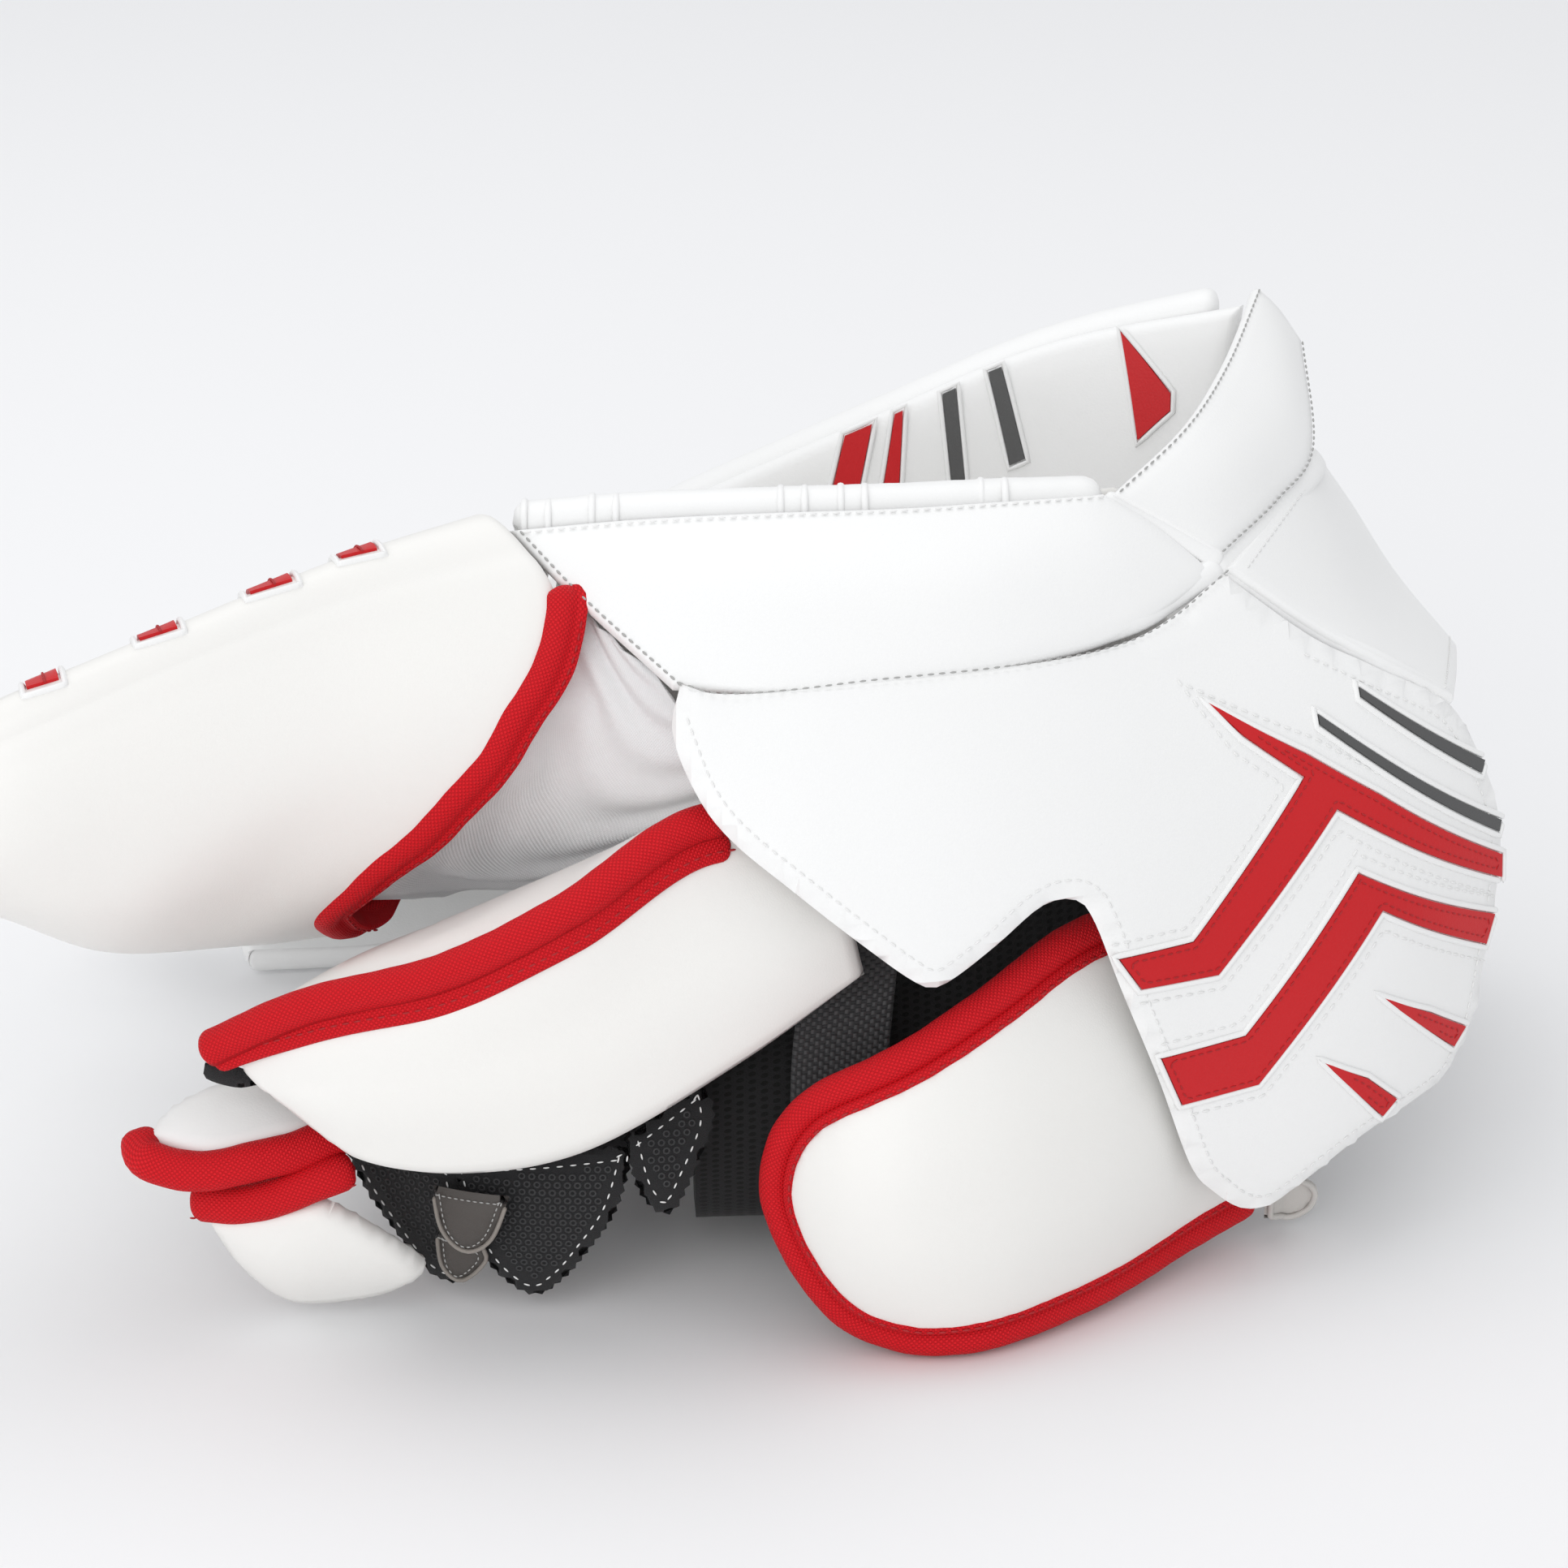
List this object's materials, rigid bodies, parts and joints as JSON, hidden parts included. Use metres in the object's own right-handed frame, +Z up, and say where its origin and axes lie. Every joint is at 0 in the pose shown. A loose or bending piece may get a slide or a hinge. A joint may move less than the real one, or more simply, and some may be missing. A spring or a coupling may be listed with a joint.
{
  "type": "hockey catching glove",
  "caption": "Ice-hockey goalkeeper's catching glove with open pocket, hinged thumb, wrap-over cuff, wrist guard and back-of-hand pads.",
  "frame": {"origin": "on the floor below the middle of the glove, which lies on the back of the hand", "axes": "+X from the fingertips towards the cuff, +Y from the thumb side towards the finger side, +Z up"},
  "size_m": [0.4504, 0.2824, 0.223],
  "materials": {
    "white_leather": "smooth fine-grain coated leather",
    "palm_leather": "soft palm leather",
    "red_leather": "smooth coated leather",
    "red_binding": "woven nylon binding tape",
    "dark_grey_leather": "smooth coated leather",
    "black_mesh": "perforated mesh and suede",
    "taupe_leather": "suede-like leather",
    "grey_webbing": "woven strap",
    "white_nylon": "woven nylon lining"
  },
  "bodies": {
    "palm": {"side_wall": "white_leather", "side_wall_backing": "white_nylon", "side_rim": "white_leather", "heel_panel": "white_leather", "palm_face": "palm_leather", "pocket_web": "white_nylon", "gusset": "white_nylon", "finger_wall": "white_leather", "finger_rim": "white_leather", "finger_shell": "white_leather", "wall_red_stripe_1": "red_leather", "wall_red_stripe_2": "red_leather", "wall_grey_stripe_1": "dark_grey_leather", "wall_grey_stripe_2": "dark_grey_leather", "wall_wedge": "red_leather", "inner_glove": "black_mesh", "finger_stall_1": "black_mesh", "finger_stall_2": "black_mesh", "finger_stall_3": "black_mesh", "finger_stall_4": "black_mesh", "mesh_panel_1": "black_mesh", "mesh_panel_2": "black_mesh", "mesh_panel_3": "black_mesh", "adjuster_loop_1": "taupe_leather", "adjuster_loop_2": "taupe_leather", "wrist_strap": "grey_webbing", "cuff_wing": "white_leather", "cuff_liner": "white_nylon", "cuff_top": "white_leather", "cuff_band_upper": "red_leather", "cuff_band_lower": "red_leather", "cuff_wedge_upper": "red_leather", "cuff_wedge_lower": "red_leather", "cuff_stripe_lower": "dark_grey_leather", "cuff_stripe_upper": "dark_grey_leather"},
    "thumb": {"thumb_hood": "white_leather", "thumb_face": "palm_leather", "thumb_binding": "red_binding", "rim_tab_1": "red_leather", "rim_tab_2": "red_leather", "rim_tab_3": "red_leather", "rim_tab_4": "red_leather"},
    "wrist_guard": {"wrist_flap": "white_leather", "wrist_flap_binding": "red_binding", "wrist_flap_tab": "taupe_leather"},
    "backhand_guard": {"backhand_pad": "white_leather", "backhand_piping": "red_binding", "backhand_backing": "black_mesh"},
    "finger_guard": {"finger_pad_upper": "white_leather", "finger_pad_lower": "white_leather", "finger_pad_binding_upper": "red_binding", "finger_pad_binding_lower": "red_binding"}
  },
  "joints": [
    {"name": "thumb_break", "type": "hinge", "parent": "palm", "child": "thumb", "pos_m": [-0.04, -0.029, 0], "axis": [0, 0, -1], "range_deg": [-2, 28], "deforming": ["pocket_web"]},
    {"name": "wrist_guard_fold", "type": "hinge", "parent": "palm", "child": "wrist_guard", "pos_m": [0.154, -0.067, 0.05], "axis": [0, 0, -1], "range_deg": [0, 8]},
    {"name": "backhand_guard_fold", "type": "hinge", "parent": "palm", "child": "backhand_guard", "pos_m": [0.034, -0.121, 0.125], "axis": [-0.7732, 0, 0.6342], "range_deg": [0, 20]},
    {"name": "finger_guard_fold", "type": "hinge", "parent": "palm", "child": "finger_guard", "pos_m": [-0.074, -0.103, 0.04], "axis": [0, 0, -1], "range_deg": [0, 10]}
  ]
}
